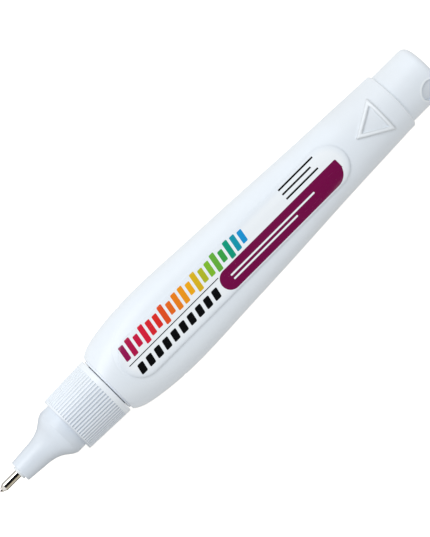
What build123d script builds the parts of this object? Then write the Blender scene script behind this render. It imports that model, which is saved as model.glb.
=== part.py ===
from build123d import *
import math
import os

# Squeeze correction pen with a spring-loaded metal point, lying on the flat of its back panel.
# Millimetres. X runs along the pen, from the writing point at -X to the tail plug at +X, and the label face
# looks up, along +Z. The origin is the middle of the flat on the back panel, on the surface under the pen.
# Places along the pen are counted from the front face of the bottle's shoulder, positive towards the tail.

# Clearances and the overrun of cuts
overrun = 1.0
running_fit = 0.05
push_fit = 0.02
face_gap = 0.05

# Bottle: a flattened squeeze body, round at both ends
bottle_length = 86.4
bottle_half_width = 10.37
bottle_half_depth = 7.6
bottle_wall = 1.1
shoulder_overhang = 0.15
shoulder_wall = 1.6
rim_wall = 1.0
rim_chamfer = 0.25
station_shares = (0, 0.015, 0.05, 0.1, 0.15, 0.21, 0.35, 0.53, 0.7, 0.85, 0.93, 1)
width_shares = (0, 0.3, 0.624, 0.845, 0.965, 1, 0.84, 0.609, 0.355, 0.163, 0.073, 0)
depth_shares = (0, 0.5, 1, 1, 1, 1, 1, 1, 1, 0.7, 0.36, 0)
fullness_shares = (0, 0.03, 0.15, 0.5, 0.75, 0.9, 1, 1, 0.75, 0.3, 0.12, 0)
widest_share = 0.21
round_fullness_share = 4 * (math.sqrt(2) - 1) / 3
flat_fullness_share = 0.8
cavity_start_share = 0.05
cavity_front_step = 0.8

# Raised label panels, one on each broad face, and the arrow frame behind the upper one
panel_start = 4.15
panel_length = 66.15
panel_half_width = 4.85
panel_raise = 0.25
panel_flat_trim = 0.07
arrow_rear_gap = 4.35
arrow_length = 8.1
arrow_half_base = 4.7
arrow_bar = 0.95
arrow_corner = 0.25

# Side notches at one of the stations, one on each narrow side
notch_share = 0.15
notch_depth = 0.32
notch_half_length = 0.55

# Neck, with the bead that shows behind the collar
thread_depth = 0.75
neck_wall = 1.0
bead_inset = 0.6
bead_length = 0.45

# Tail plug: a post that sits on the bottle's rim, and a narrower shank in its bore
plug_radius = 6.55
plug_step = 0.3
plug_wall = 0.95
plug_insert = 6.0
plug_reach = 10.3
plug_corner = 1.6
plug_crown = 0.35
plug_relief = 0.06
seal_rib_half_length = 0.35
seal_rib_shares = (0.3, 0.7)
dimple_radius = 2.6
dimple_depth = 0.45
dimple_from_end = 3.1
dimple_angle = 40.0

# Screw collar with fine axial ribs
collar_gap = 0.65
collar_length = 11.95
collar_lip_reach = 1.2
collar_taper = 0.4
collar_lip = 1.2
collar_edge = 0.22
rib_count = 60
rib_groove_radius = 0.23
rib_front_margin = 0.55
rib_rear_margin = 1.4

# Nozzle cone
cap_seat_radius = 5.8
cap_seat_length = 2.69
cap_seat_edge = 0.3
flare_length = 7.3
nose_root_radius = 2.93
nose_length = 4.1
nose_radius = 2.58
nose_edge = 0.2
flare_pull_shares = ((0.267, 0.274), (0.259, 0.922))
flange_thickness = 1.0
flange_step = 0.35
flange_play = 0.1
lip_relief = 0.25
skirt_length = 5.0
skirt_wall = 1.13
skirt_chamfer = 0.3
gasket_thickness = 0.8
gasket_inset = 0.05

# Tip holder inside the cone, with the boss that shows at its end
boss_radius = 1.65
boss_length = 0.54
boss_edge = 0.12
holder_length = 10.2
chamber_radius = 2.2
chamber_front_wall = 1.2

# Metal tip tube and its tapered nose
tube_radius = 0.92
tube_reach = 4.1
tube_insert = 5.0
tube_wall = 0.18
nose_taper_length = 0.8
nose_land_length = 0.25
nose_end_radius = 0.52
orifice_wall = 0.1
seat_length = 0.35

# Valve pin, whose point is a little proud of the nose when it is pressed in
pin_travel = 0.35
pin_proud = 0.05
stem_play = 0.12
pin_flange_radius = 1.5
pin_flange_thickness = 0.8
pin_flange_gap = 0.3
pin_tail_radius = 0.7
pin_tail_length = 3.6

# Valve spring and the retainer behind it
spring_wire_radius = 0.17
spring_mean_radius = 1.3
spring_turns = 6
retainer_thickness = 1.2
retainer_bore = 0.75
retainer_slot_radius = 0.45
retainer_slot_count = 4

# Agitator ball, lying on the inside of the back wall behind the shoulder
ball_radius = 2.75
ball_front_gap = 0.4
ball_gap = 0.2

# Radii that fits share, worked out from the sizes above
flange_radius = cap_seat_radius + flange_step
gasket_radius = flange_radius - gasket_inset
lip_radius = cap_seat_radius + running_fit
collar_bore_radius = flange_radius + flange_play
collar_front_radius = cap_seat_radius + collar_lip_reach
collar_rear_radius = collar_front_radius + collar_taper
bead_radius = collar_rear_radius - bead_inset
shoulder_radius = collar_rear_radius + shoulder_overhang
neck_radius = collar_bore_radius - thread_depth
neck_bore_radius = neck_radius - neck_wall
skirt_radius = neck_bore_radius - running_fit
holder_radius = skirt_radius - skirt_wall - push_fit
shank_radius = plug_radius - plug_step
rim_bore_radius = shank_radius + running_fit
rim_radius = rim_bore_radius + rim_wall
tube_bore_radius = tube_radius - tube_wall
orifice_radius = nose_end_radius - orifice_wall
pin_tip_radius = orifice_radius - running_fit
stem_radius = tube_bore_radius - stem_play

# Places along the pen
axis_height = bottle_half_depth + panel_raise - panel_flat_trim
bottle_front = -(panel_start + panel_length / 2)
bottle_rear = bottle_front + bottle_length
collar_rear = bottle_front - collar_gap
collar_front = collar_rear - collar_length
flange_front = collar_front + collar_lip + face_gap
flange_rear = flange_front + flange_thickness
gasket_rear = flange_rear + gasket_thickness
neck_front = gasket_rear + face_gap
cap_seat_front = collar_front - cap_seat_length
flare_front = cap_seat_front - flare_length
cone_front = flare_front - nose_length
boss_front = cone_front - boss_length
tube_front = boss_front - tube_reach
tip_front = tube_front - nose_taper_length - nose_land_length
holder_step = cap_seat_front - cap_seat_edge
skirt_rear = flange_rear + skirt_length
holder_rear = holder_step + holder_length
chamber_front = holder_step + chamber_front_wall
pin_flange_front = chamber_front + pin_flange_gap
pin_flange_rear = pin_flange_front + pin_flange_thickness
retainer_front = holder_rear - retainer_thickness
plug_front = bottle_rear - plug_insert
plug_end = bottle_rear + plug_reach

pen_axis = Axis((0, 0, axis_height), (1, 0, 0))
side_plane = Plane(origin=(0, 0, axis_height), x_dir=(1, 0, 0), z_dir=(0, -1, 0))
top_plane = Plane.XY.offset(axis_height)


def cross_plane(place):
    """Plane across the pen at a place along X, with its own x along Y and its own y up."""
    return Plane(origin=(place, 0, axis_height), x_dir=(0, 1, 0), z_dir=(1, 0, 0))


def station_size(station):
    """Half width and half depth of the bottle at one station."""
    end_radius = shoulder_radius if station_shares[station] < widest_share else rim_radius
    half_width = end_radius + (bottle_half_width - end_radius) * width_shares[station]
    half_depth = end_radius + (bottle_half_depth - end_radius) * depth_shares[station]
    return half_width, half_depth


def bottle_outline(place, half_width, half_depth, fullness):
    """Closed outline across the bottle from four mirrored curves: round at low fullness, flatter at high."""
    corners = ((1, 1), (-1, 1), (-1, -1), (1, -1))
    with BuildSketch(cross_plane(place)) as outline:
        with BuildLine():
            for number, (right, up) in enumerate(corners):
                side = (right * half_width, 0)
                side_pull = (right * half_width, up * half_depth * fullness)
                crest_pull = (right * half_width * fullness, up * half_depth)
                crest = (0, up * half_depth)
                points = (side, side_pull, crest_pull, crest)
                Bezier(*(points if number % 2 == 0 else points[::-1]))
        make_face()
    return outline.sketch


def bottle_outlines(growth, first_share=0):
    """Outlines of the bottle at its stations from the given share on, grown outwards by a length."""
    outlines = []
    for station in range(station_shares.index(first_share), len(station_shares)):
        half_width, half_depth = station_size(station)
        place = bottle_front + bottle_length * station_shares[station]
        fullness = round_fullness_share
        fullness += (flat_fullness_share - round_fullness_share) * fullness_shares[station]
        outlines.append(bottle_outline(place, half_width + growth, half_depth + growth, fullness))
    return outlines


# Bottle surface raised for the panels and the arrow frame
with BuildPart() as raised:
    loft(bottle_outlines(panel_raise))

with BuildPart() as label_panels:
    with BuildSketch(top_plane):
        SlotOverall(panel_length, panel_half_width * 2)
    extrude(amount=axis_height + overrun, both=True)
    add(raised.part, mode=Mode.INTERSECT)
    split(bisect_by=Plane.XY, keep=Keep.TOP)
    split(bisect_by=Plane.XY.offset(axis_height * 2), keep=Keep.BOTTOM)

with BuildPart() as arrow_frame:
    with BuildSketch(top_plane) as arrow_sketch:
        with BuildLine():
            arrow_apex = bottle_rear - arrow_rear_gap - arrow_length
            Polyline(
                (arrow_apex, 0),
                (arrow_apex + arrow_length, -arrow_half_base),
                (arrow_apex + arrow_length, arrow_half_base),
                close=True,
            )
        make_face()
        fillet(arrow_sketch.vertices(), arrow_corner)
        offset(amount=-arrow_bar, mode=Mode.SUBTRACT)
    extrude(amount=axis_height + overrun)
    add(raised.part, mode=Mode.INTERSECT)

# Hollow of the bottle, from behind the shoulder through to the rear end
with BuildPart() as cavity:
    cavity_front_radius = neck_bore_radius + cavity_front_step
    cavity_front = bottle_outline(
        bottle_front + shoulder_wall, cavity_front_radius, cavity_front_radius, round_fullness_share
    )
    loft([cavity_front] + bottle_outlines(-bottle_wall, first_share=cavity_start_share))

# Bottle with its neck, bead, bores and side notches
with BuildPart() as barrel:
    loft(bottle_outlines(0))
    add(label_panels.part)
    add(arrow_frame.part)
    with BuildSketch(side_plane):
        with BuildLine():
            Polyline(
                (bottle_front + shoulder_wall, 0),
                (neck_front, 0),
                (neck_front, neck_radius),
                (bottle_front - bead_length, neck_radius),
                (bottle_front - bead_length, bead_radius),
                (bottle_front + shoulder_wall, bead_radius),
                close=True,
            )
        make_face()
    revolve(axis=pen_axis)
    add(cavity.part, mode=Mode.SUBTRACT)
    with BuildSketch(cross_plane(neck_front)):
        Circle(neck_bore_radius)
    extrude(amount=bottle_front + shoulder_wall + overrun - neck_front, mode=Mode.SUBTRACT)
    with BuildSketch(cross_plane(plug_front)):
        Circle(rim_bore_radius)
    extrude(amount=plug_insert + overrun, mode=Mode.SUBTRACT)
    with BuildSketch(side_plane):
        with BuildLine():
            Polyline(
                (bottle_rear - rim_chamfer - overrun, rim_radius + overrun),
                (bottle_rear + overrun, rim_radius - rim_chamfer - overrun),
                (bottle_rear + overrun, rim_radius + overrun),
                close=True,
            )
        make_face()
    revolve(axis=pen_axis, mode=Mode.SUBTRACT)
    notch_place = bottle_front + bottle_length * notch_share
    notch_side = station_size(station_shares.index(notch_share))[0]
    notch_bottom = notch_side - notch_depth
    notch_run = notch_half_length * (overrun + notch_depth) / notch_depth
    with BuildSketch(top_plane):
        for side in (1, -1):
            with BuildLine():
                Polyline(
                    (notch_place, side * notch_bottom),
                    (notch_place - notch_run, side * (notch_side + overrun)),
                    (notch_place + notch_run, side * (notch_side + overrun)),
                    close=True,
                )
            make_face()
    extrude(amount=bottle_half_depth, both=True, mode=Mode.SUBTRACT)

# Tail plug: a cup with two sealing ribs in the bore and a round recess in its side
with BuildPart() as dimple:
    dimple_turn = math.radians(dimple_angle)
    dimple_plane = Plane(
        origin=(plug_end - dimple_from_end, 0, axis_height),
        x_dir=(1, 0, 0),
        z_dir=(0, -math.sin(dimple_turn), math.cos(dimple_turn)),
    )
    with BuildSketch(dimple_plane):
        Circle(dimple_radius)
    extrude(amount=plug_radius + overrun)
    with BuildSketch(cross_plane(bottle_rear)):
        Circle(plug_radius - dimple_depth)
    extrude(amount=plug_reach + overrun, mode=Mode.SUBTRACT)

with BuildPart() as tail_plug:
    plug_seat = plug_front + face_gap
    plug_edge = plug_end - plug_crown
    crown_radius = (plug_radius**2 + plug_crown**2) / (2 * plug_crown)
    crown_middle = plug_end - crown_radius + math.sqrt(crown_radius**2 - (plug_radius / 2) ** 2)
    with BuildSketch(side_plane) as plug_profile:
        with BuildLine():
            Polyline(
                (plug_end, 0),
                (plug_seat, 0),
                (plug_seat, shank_radius - plug_relief),
                (bottle_rear + face_gap, shank_radius - plug_relief),
                (bottle_rear + face_gap, plug_radius),
                (plug_edge, plug_radius),
            )
            ThreePointArc((plug_edge, plug_radius), (crown_middle, plug_radius / 2), (plug_end, 0))
        make_face()
        fillet(plug_profile.vertices().sort_by(Axis.Y).sort_by(Axis.X)[-2], plug_corner)
    revolve(axis=pen_axis)
    with BuildSketch(side_plane):
        for share in seal_rib_shares:
            with Locations((plug_seat + plug_insert * share, 0)):
                Rectangle(
                    seal_rib_half_length * 2, rim_bore_radius - push_fit, align=(Align.CENTER, Align.MIN)
                )
    revolve(axis=pen_axis)
    with BuildSketch(cross_plane(plug_seat)):
        Circle(plug_radius - plug_wall)
    extrude(amount=plug_edge - plug_wall - plug_seat, mode=Mode.SUBTRACT)
    add(dimple.part, mode=Mode.SUBTRACT)

# Screw collar: a slightly tapered ring with a front lip and fine grooves between its ribs
with BuildPart() as rib_groove:
    collar_slope = (collar_rear_radius - collar_front_radius) / collar_length
    groove_length = collar_length - rib_front_margin - rib_rear_margin
    groove_plane = Plane(
        origin=(
            collar_front + rib_front_margin,
            0,
            axis_height + collar_front_radius + collar_slope * rib_front_margin,
        ),
        x_dir=(0, 1, 0),
        z_dir=(1, 0, collar_slope),
    )
    with BuildSketch(groove_plane):
        Circle(rib_groove_radius)
    extrude(amount=groove_length * math.hypot(1, collar_slope))

with BuildPart() as screw_collar:
    with BuildSketch(side_plane) as collar_profile:
        with BuildLine():
            Polyline(
                (collar_front, lip_radius),
                (collar_front, collar_front_radius),
                (collar_rear, collar_rear_radius),
                (collar_rear, collar_bore_radius),
                (collar_front + collar_lip, collar_bore_radius),
                (collar_front + collar_lip, lip_radius),
                close=True,
            )
        make_face()
        fillet(collar_profile.vertices().sort_by(Axis.Y)[-2:], collar_edge)
    revolve(axis=pen_axis)
    rib_step = 360 / rib_count
    add([rib_groove.part.rotate(pen_axis, rib_step * rib) for rib in range(rib_count)], mode=Mode.SUBTRACT)

# Nozzle cone: a flared nose, the seat for a cap, the flange under the collar's lip and a skirt in the neck
with BuildPart() as nozzle_cone:
    cone_bore = boss_radius + push_fit
    holder_bore = holder_radius + push_fit
    seat_start_radius = cap_seat_radius - cap_seat_edge / 2
    flare_drop = seat_start_radius - nose_root_radius
    flare_pulls = [
        (cap_seat_front - flare_length * along, seat_start_radius - flare_drop * down)
        for along, down in flare_pull_shares
    ]
    with BuildSketch(side_plane) as cone_profile:
        with BuildLine():
            Polyline(
                (flare_front, nose_root_radius),
                (cone_front, nose_radius),
                (cone_front, cone_bore),
                (holder_step - face_gap, cone_bore),
                (holder_step - face_gap, holder_bore),
                (skirt_rear, holder_bore),
                (skirt_rear, skirt_radius - skirt_chamfer),
                (skirt_rear - skirt_chamfer, skirt_radius),
                (flange_rear, skirt_radius),
                (flange_rear, flange_radius),
                (flange_front, flange_radius),
                (flange_front, cap_seat_radius - lip_relief),
                (collar_front + face_gap, cap_seat_radius - lip_relief),
                (collar_front + face_gap, cap_seat_radius),
                (cap_seat_front + cap_seat_edge, cap_seat_radius),
                (cap_seat_front, seat_start_radius),
            )
            Bezier((cap_seat_front, seat_start_radius), *flare_pulls, (flare_front, nose_root_radius))
        make_face()
        nose_corners = cone_profile.vertices().group_by(Axis.X)[0].sort_by(Axis.Y)
        fillet(nose_corners[-1], nose_edge)
    revolve(axis=pen_axis)

# Sealing washer behind the flange
with BuildPart() as neck_gasket:
    with BuildSketch(cross_plane(flange_rear)):
        Circle(gasket_radius)
        Circle(skirt_radius + running_fit, mode=Mode.SUBTRACT)
    extrude(amount=gasket_thickness)

# Tip holder: a stepped sleeve that carries the metal tube in front and the valve chamber behind
with BuildPart() as tip_holder:
    tube_rear = boss_front + tube_insert
    with BuildSketch(side_plane) as holder_profile:
        with BuildLine():
            Polyline(
                (boss_front, tube_radius + push_fit),
                (boss_front, boss_radius),
                (holder_step, boss_radius),
                (holder_step, holder_radius),
                (holder_rear, holder_radius),
                (holder_rear, chamber_radius),
                (chamber_front, chamber_radius),
                (chamber_front, tube_bore_radius),
                (tube_rear + face_gap, tube_bore_radius),
                (tube_rear + face_gap, tube_radius + push_fit),
                close=True,
            )
        make_face()
        fillet(holder_profile.vertices().group_by(Axis.X)[0].sort_by(Axis.Y)[-1], boss_edge)
    revolve(axis=pen_axis)

# Metal tip tube, tapered to the nose, with the conical valve seat inside
with BuildPart() as tip_tube:
    with BuildSketch(side_plane):
        with BuildLine():
            Polyline(
                (tip_front, orifice_radius),
                (tip_front, nose_end_radius),
                (tip_front + nose_land_length, nose_end_radius),
                (tube_front, tube_radius),
                (tube_rear, tube_radius),
                (tube_rear, tube_bore_radius),
                (tube_front, tube_bore_radius),
                (tube_front - seat_length, orifice_radius),
                close=True,
            )
        make_face()
    revolve(axis=pen_axis)

# Valve pin: a rounded point, a sealing shoulder, the stem, the spring flange and a guide tail
with BuildPart() as valve_pin:
    pin_end = tip_front - pin_travel - pin_proud
    seat_slope = seat_length / (tube_bore_radius - orifice_radius)
    shoulder_place = tube_front - seat_slope * (tube_bore_radius - stem_radius) + face_gap
    point_rear = shoulder_place - seat_slope * (stem_radius - pin_tip_radius)
    point_middle = pin_tip_radius * math.sqrt(0.5)
    with BuildSketch(side_plane):
        with BuildLine():
            ThreePointArc(
                (pin_end, 0),
                (pin_end + pin_tip_radius - point_middle, point_middle),
                (pin_end + pin_tip_radius, pin_tip_radius),
            )
            Polyline(
                (pin_end + pin_tip_radius, pin_tip_radius),
                (point_rear, pin_tip_radius),
                (shoulder_place, stem_radius),
                (pin_flange_front, stem_radius),
                (pin_flange_front, pin_flange_radius),
                (pin_flange_rear, pin_flange_radius),
                (pin_flange_rear, pin_tail_radius),
                (pin_flange_rear + pin_tail_length, pin_tail_radius),
                (pin_flange_rear + pin_tail_length, 0),
                (pin_end, 0),
            )
        make_face()
    revolve(axis=pen_axis)


def coil_point(turn):
    """Place and direction of the spring's centre line after a number of turns."""
    angle = 2 * math.pi * turn
    pitch = coil_length / spring_turns
    place = Vector(
        coil_front + pitch * turn,
        spring_mean_radius * math.cos(angle),
        axis_height + spring_mean_radius * math.sin(angle),
    )
    run = 2 * math.pi * spring_mean_radius
    direction = Vector(pitch, -run * math.sin(angle), run * math.cos(angle))
    return place, direction.normalized()


# Valve spring: one wire on half-turn pairs of arcs between the pin's flange and the retainer
coil_front = pin_flange_rear + spring_wire_radius + face_gap
coil_length = retainer_front - spring_wire_radius - face_gap - coil_front
with BuildPart() as valve_spring:
    with BuildLine() as coil:
        for half_turn in range(2 * spring_turns):
            start, start_way = coil_point(half_turn / 2)
            end, end_way = coil_point((half_turn + 1) / 2)
            chord = end - start
            spread = 2 * (1 - start_way.dot(end_way))
            reach = chord.dot(start_way + end_way)
            pull = (math.sqrt(reach**2 + spread * chord.dot(chord)) - reach) / spread
            middle = (start + end + (start_way - end_way) * pull) / 2
            TangentArc(start, middle, tangent=start_way)
            middle_way = end - end_way * pull - start - start_way * pull
            TangentArc(middle, end, tangent=middle_way)
    with BuildSketch(Plane(origin=coil_point(0)[0], z_dir=coil_point(0)[1])):
        Circle(spring_wire_radius)
    sweep(path=coil.wires()[0])

coil_steps = 24 * spring_turns
coil_places = [coil_point(step / 24)[0] for step in range(coil_steps + 1)]
coil_gap = min(
    (coil_places[one] - coil_places[two]).length - 2 * spring_wire_radius
    for one in range(coil_steps + 1)
    for two in range(one + 12, coil_steps + 1)
)
print("least gap between turns of the spring:", round(coil_gap, 3), "mm")

# Slotted disc that the spring pushes against
with BuildPart() as spring_retainer:
    with BuildSketch(cross_plane(retainer_front)):
        Circle(chamber_radius - push_fit)
        Circle(retainer_bore, mode=Mode.SUBTRACT)
        with PolarLocations(chamber_radius, retainer_slot_count):
            Circle(retainer_slot_radius, mode=Mode.SUBTRACT)
    extrude(amount=retainer_thickness)

# Agitator ball
with BuildPart() as agitator_ball:
    ball_place = bottle_front + bottle_length * cavity_start_share + ball_front_gap
    ball_height = axis_height - bottle_half_depth + bottle_wall + ball_gap + ball_radius
    with Locations((ball_place, 0, ball_height)):
        Sphere(ball_radius)

pieces = {
    "barrel": barrel,
    "tail_plug": tail_plug,
    "screw_collar": screw_collar,
    "nozzle_cone": nozzle_cone,
    "neck_gasket": neck_gasket,
    "tip_holder": tip_holder,
    "tip_tube": tip_tube,
    "valve_pin": valve_pin,
    "valve_spring": valve_spring,
    "spring_retainer": spring_retainer,
    "agitator_ball": agitator_ball,
}
os.makedirs("parts", exist_ok=True)
for name, piece in pieces.items():
    piece.part.label = name
    export_step(piece.part, f"parts/{name}.step")
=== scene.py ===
"""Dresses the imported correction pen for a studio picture: finishes, print, screw threads, floor, light and camera.

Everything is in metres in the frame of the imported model: X runs from the writing point to the tail, Y across the
pen and Z up, with the pen lying on its back panel. Sizes that a finish follows over the surface are in millimetres.
"""

import logging
import math
from dataclasses import dataclass
from enum import Enum
from functools import cached_property
from typing import Any, Dict, List, Sequence, Tuple, Union

import bpy
from mathutils import Matrix, Vector

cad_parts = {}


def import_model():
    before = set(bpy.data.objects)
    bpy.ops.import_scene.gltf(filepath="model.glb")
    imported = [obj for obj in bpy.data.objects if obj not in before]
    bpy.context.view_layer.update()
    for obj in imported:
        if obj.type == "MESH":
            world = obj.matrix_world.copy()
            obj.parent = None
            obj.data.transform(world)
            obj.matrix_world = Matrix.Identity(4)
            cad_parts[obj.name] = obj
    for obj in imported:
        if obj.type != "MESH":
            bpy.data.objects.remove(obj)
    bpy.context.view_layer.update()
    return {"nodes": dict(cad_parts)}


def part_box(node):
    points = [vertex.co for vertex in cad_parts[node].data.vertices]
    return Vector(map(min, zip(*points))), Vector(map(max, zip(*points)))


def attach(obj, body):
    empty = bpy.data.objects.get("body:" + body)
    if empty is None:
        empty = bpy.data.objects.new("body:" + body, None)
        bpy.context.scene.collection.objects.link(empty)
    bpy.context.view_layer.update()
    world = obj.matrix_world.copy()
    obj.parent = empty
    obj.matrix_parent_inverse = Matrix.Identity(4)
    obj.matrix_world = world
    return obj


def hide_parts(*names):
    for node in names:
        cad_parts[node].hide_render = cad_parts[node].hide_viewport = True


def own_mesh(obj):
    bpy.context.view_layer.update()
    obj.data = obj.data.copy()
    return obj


LOG = logging.getLogger("pen")
MM = 0.001
AXIS_HEIGHT = 7.78
NOISE_MIDDLE = 0.5
BEVEL_SAMPLES = 6

Colour = Tuple[float, float, float, float]
Point = Tuple[float, float, float]
Span = Tuple[float, float]
Socket = bpy.types.NodeSocket
Sockets = Dict[str, Socket]
Feed = Union[Socket, float, Sequence[float]]


class Body(Enum):
    """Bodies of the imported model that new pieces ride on."""

    BARREL = "barrel"
    COLLAR = "collar"
    NOZZLE = "nozzle"


class Slot(Enum):
    """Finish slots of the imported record."""

    BOTTLE = "bottle_white"
    MOULDED = "moulded_white"
    SPRING = "spring_steel"


def paint(red: int, green: int, blue: int) -> Colour:
    """Turns a display colour of 0 to 255 into the linear colour that shaders take, by the sRGB curve.

    Args:
        red: Display red.
        green: Display green.
        blue: Display blue.

    Returns:
        Linear red, green and blue, with full alpha.
    """
    linear = []
    for level in (red, green, blue):
        share = level / 255
        linear.append(share / 12.92 if share <= 0.04045 else ((share + 0.055) / 1.055) ** 2.4)
    return (linear[0], linear[1], linear[2], 1.0)


def span_from(place: float, span: Span) -> Span:
    """Moves a span that is measured from a place to where it lies."""
    return place + span[0], place + span[1]


class Graph:
    """Adds nodes to one node tree and links them."""

    def __init__(self, tree: bpy.types.NodeTree) -> None:
        """Works on the given tree."""
        self.tree = tree

    def add(self, kind: str, **settings: Any) -> bpy.types.Node:
        """Adds a node.

        Args:
            kind: Blender's name for the node type.
            **settings: Properties to set on the node.

        Returns:
            The new node.
        """
        node = self.tree.nodes.new(kind)
        for name, value in settings.items():
            setattr(node, name, value)
        return node

    def feed(self, socket: Socket, source: Feed) -> None:
        """Links a socket to its source, or sets it to a plain value.

        Args:
            socket: The input to fill.
            source: An output of another node, a number or a colour.
        """
        if isinstance(source, bpy.types.NodeSocket):
            self.tree.links.new(source, socket)
        else:
            socket.default_value = source

    def math(self, operation: str, *feeds: Feed) -> Socket:
        """Adds a Math node.

        Args:
            operation: Blender's name for the operation.
            *feeds: The node's inputs in order.

        Returns:
            The result.
        """
        node = self.add("ShaderNodeMath", operation=operation)
        for socket, source in zip(node.inputs, feeds):
            self.feed(socket, source)
        return node.outputs[0]

    def times(self, first: Feed, second: Feed) -> Socket:
        """Multiplies two values."""
        return self.math("MULTIPLY", first, second)

    def length(self, first: Feed, second: Feed) -> Socket:
        """Gives the length of a way that goes along two directions at right angles."""
        squares = self.math("ADD", self.math("POWER", first, 2.0), self.math("POWER", second, 2.0))
        return self.math("SQRT", squares)

    def stretch(self, place: Feed, factors: Point) -> Socket:
        """Multiplies each of a point's three places by its own factor.

        Args:
            place: The point.
            factors: The factors.

        Returns:
            The stretched point.
        """
        node = self.add("ShaderNodeVectorMath", operation="MULTIPLY")
        self.feed(node.inputs[0], place)
        self.feed(node.inputs[1], factors)
        return node.outputs[0]

    def ramp(self, value: Feed, low: float, high: float, first: float = 0.0, last: float = 1.0) -> Socket:
        """Eases from one value to another while the input goes from low to high.

        Args:
            value: The input.
            low: Where the change starts.
            high: Where the change ends.
            first: The result at low and below.
            last: The result at high and above.

        Returns:
            The eased value.
        """
        node = self.add("ShaderNodeMapRange", interpolation_type="SMOOTHSTEP")
        feeds = {"Value": value, "From Min": low, "From Max": high, "To Min": first, "To Max": last}
        for name, source in feeds.items():
            self.feed(node.inputs[name], source)
        return node.outputs["Result"]

    def window(self, value: Feed, rise: Span, fall: Span) -> Socket:
        """Eases from 0 to 1 over one span of the input and back to 0 over a later one."""
        return self.times(self.ramp(value, *rise), self.ramp(value, *fall, 1.0, 0.0))

    def mix(self, share: Feed, under: Feed, over: Feed) -> Socket:
        """Mixes two colours.

        Args:
            share: How much of the second colour shows.
            under: The first colour.
            over: The second colour.

        Returns:
            The mixed colour.
        """
        node = self.add("ShaderNodeMix", data_type="RGBA")
        self.feed(node.inputs["Factor"], share)
        colours = [socket for socket in node.inputs if socket.type == "RGBA"]
        self.feed(colours[0], under)
        self.feed(colours[1], over)
        return next(socket for socket in node.outputs if socket.type == "RGBA")

    def noise(self, place: Feed, scale: Feed, detail: float) -> Socket:
        """Adds a Noise texture.

        Args:
            place: Where the texture is read.
            scale: Features per unit of place.
            detail: Octaves.

        Returns:
            The noise, from 0 to 1 around 0.5.
        """
        node = self.add("ShaderNodeTexNoise")
        self.feed(node.inputs["Vector"], place)
        self.feed(node.inputs["Scale"], scale)
        self.feed(node.inputs["Detail"], detail)
        return node.outputs[0]

    @cached_property
    def place(self) -> Socket:
        """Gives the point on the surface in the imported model's frame, in millimetres."""
        coordinates = self.add("ShaderNodeTexCoord")
        return self.stretch(coordinates.outputs["Object"], (1 / MM, 1 / MM, 1 / MM))

    @cached_property
    def axes(self) -> Tuple[Socket, Socket, Socket]:
        """Splits the point on the surface.

        Returns:
            Its places along the pen, across the pen and above the pen's axis, in millimetres.
        """
        split = self.add("ShaderNodeSeparateXYZ")
        self.feed(split.inputs[0], self.place)
        up = self.math("SUBTRACT", split.outputs["Z"], AXIS_HEIGHT)
        return split.outputs["X"], split.outputs["Y"], up


class Effect:
    """A surface effect that several finishes share, kept as one shader node group. Its Place input is a point."""

    name: str = "effect"
    inputs: Tuple[str, ...] = ()
    outputs: Tuple[str, ...] = ()

    def wire(self, graph: Graph, feeds: Sockets) -> Sockets:
        """Builds the inside of the group.

        Args:
            graph: The group's node tree.
            feeds: The group's inputs by name.

        Returns:
            The group's outputs by name.
        """
        raise NotImplementedError

    def group(self) -> bpy.types.NodeTree:
        """Gives the node group, which is built the first time it is asked for.

        Returns:
            The node group.
        """
        known = bpy.data.node_groups.get(self.name)
        if known is not None:
            return known
        tree = bpy.data.node_groups.new(self.name, "ShaderNodeTree")
        for name in self.inputs:
            kind = "NodeSocketVector" if name == "Place" else "NodeSocketFloat"
            tree.interface.new_socket(name=name, in_out="INPUT", socket_type=kind)
        for name in self.outputs:
            tree.interface.new_socket(name=name, in_out="OUTPUT", socket_type="NodeSocketFloat")
        graph = Graph(tree)
        entry = graph.add("NodeGroupInput")
        end = graph.add("NodeGroupOutput")
        made = self.wire(graph, {socket.name: socket for socket in entry.outputs if socket.name})
        for name, socket in made.items():
            graph.feed(end.inputs[name], socket)
        return tree

    def use(self, graph: Graph, **feeds: Feed) -> Sockets:
        """Places the group in a material with its own values.

        Args:
            graph: The material's node tree.
            **feeds: The group's inputs, with underscores for spaces. Those left out are 0.

        Returns:
            The group's outputs by name.
        """
        node = graph.add("ShaderNodeGroup", node_tree=self.group())
        for name, source in feeds.items():
            graph.feed(node.inputs[name.replace("_", " ")], source)
        return {socket.name: socket for socket in node.outputs}


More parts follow.
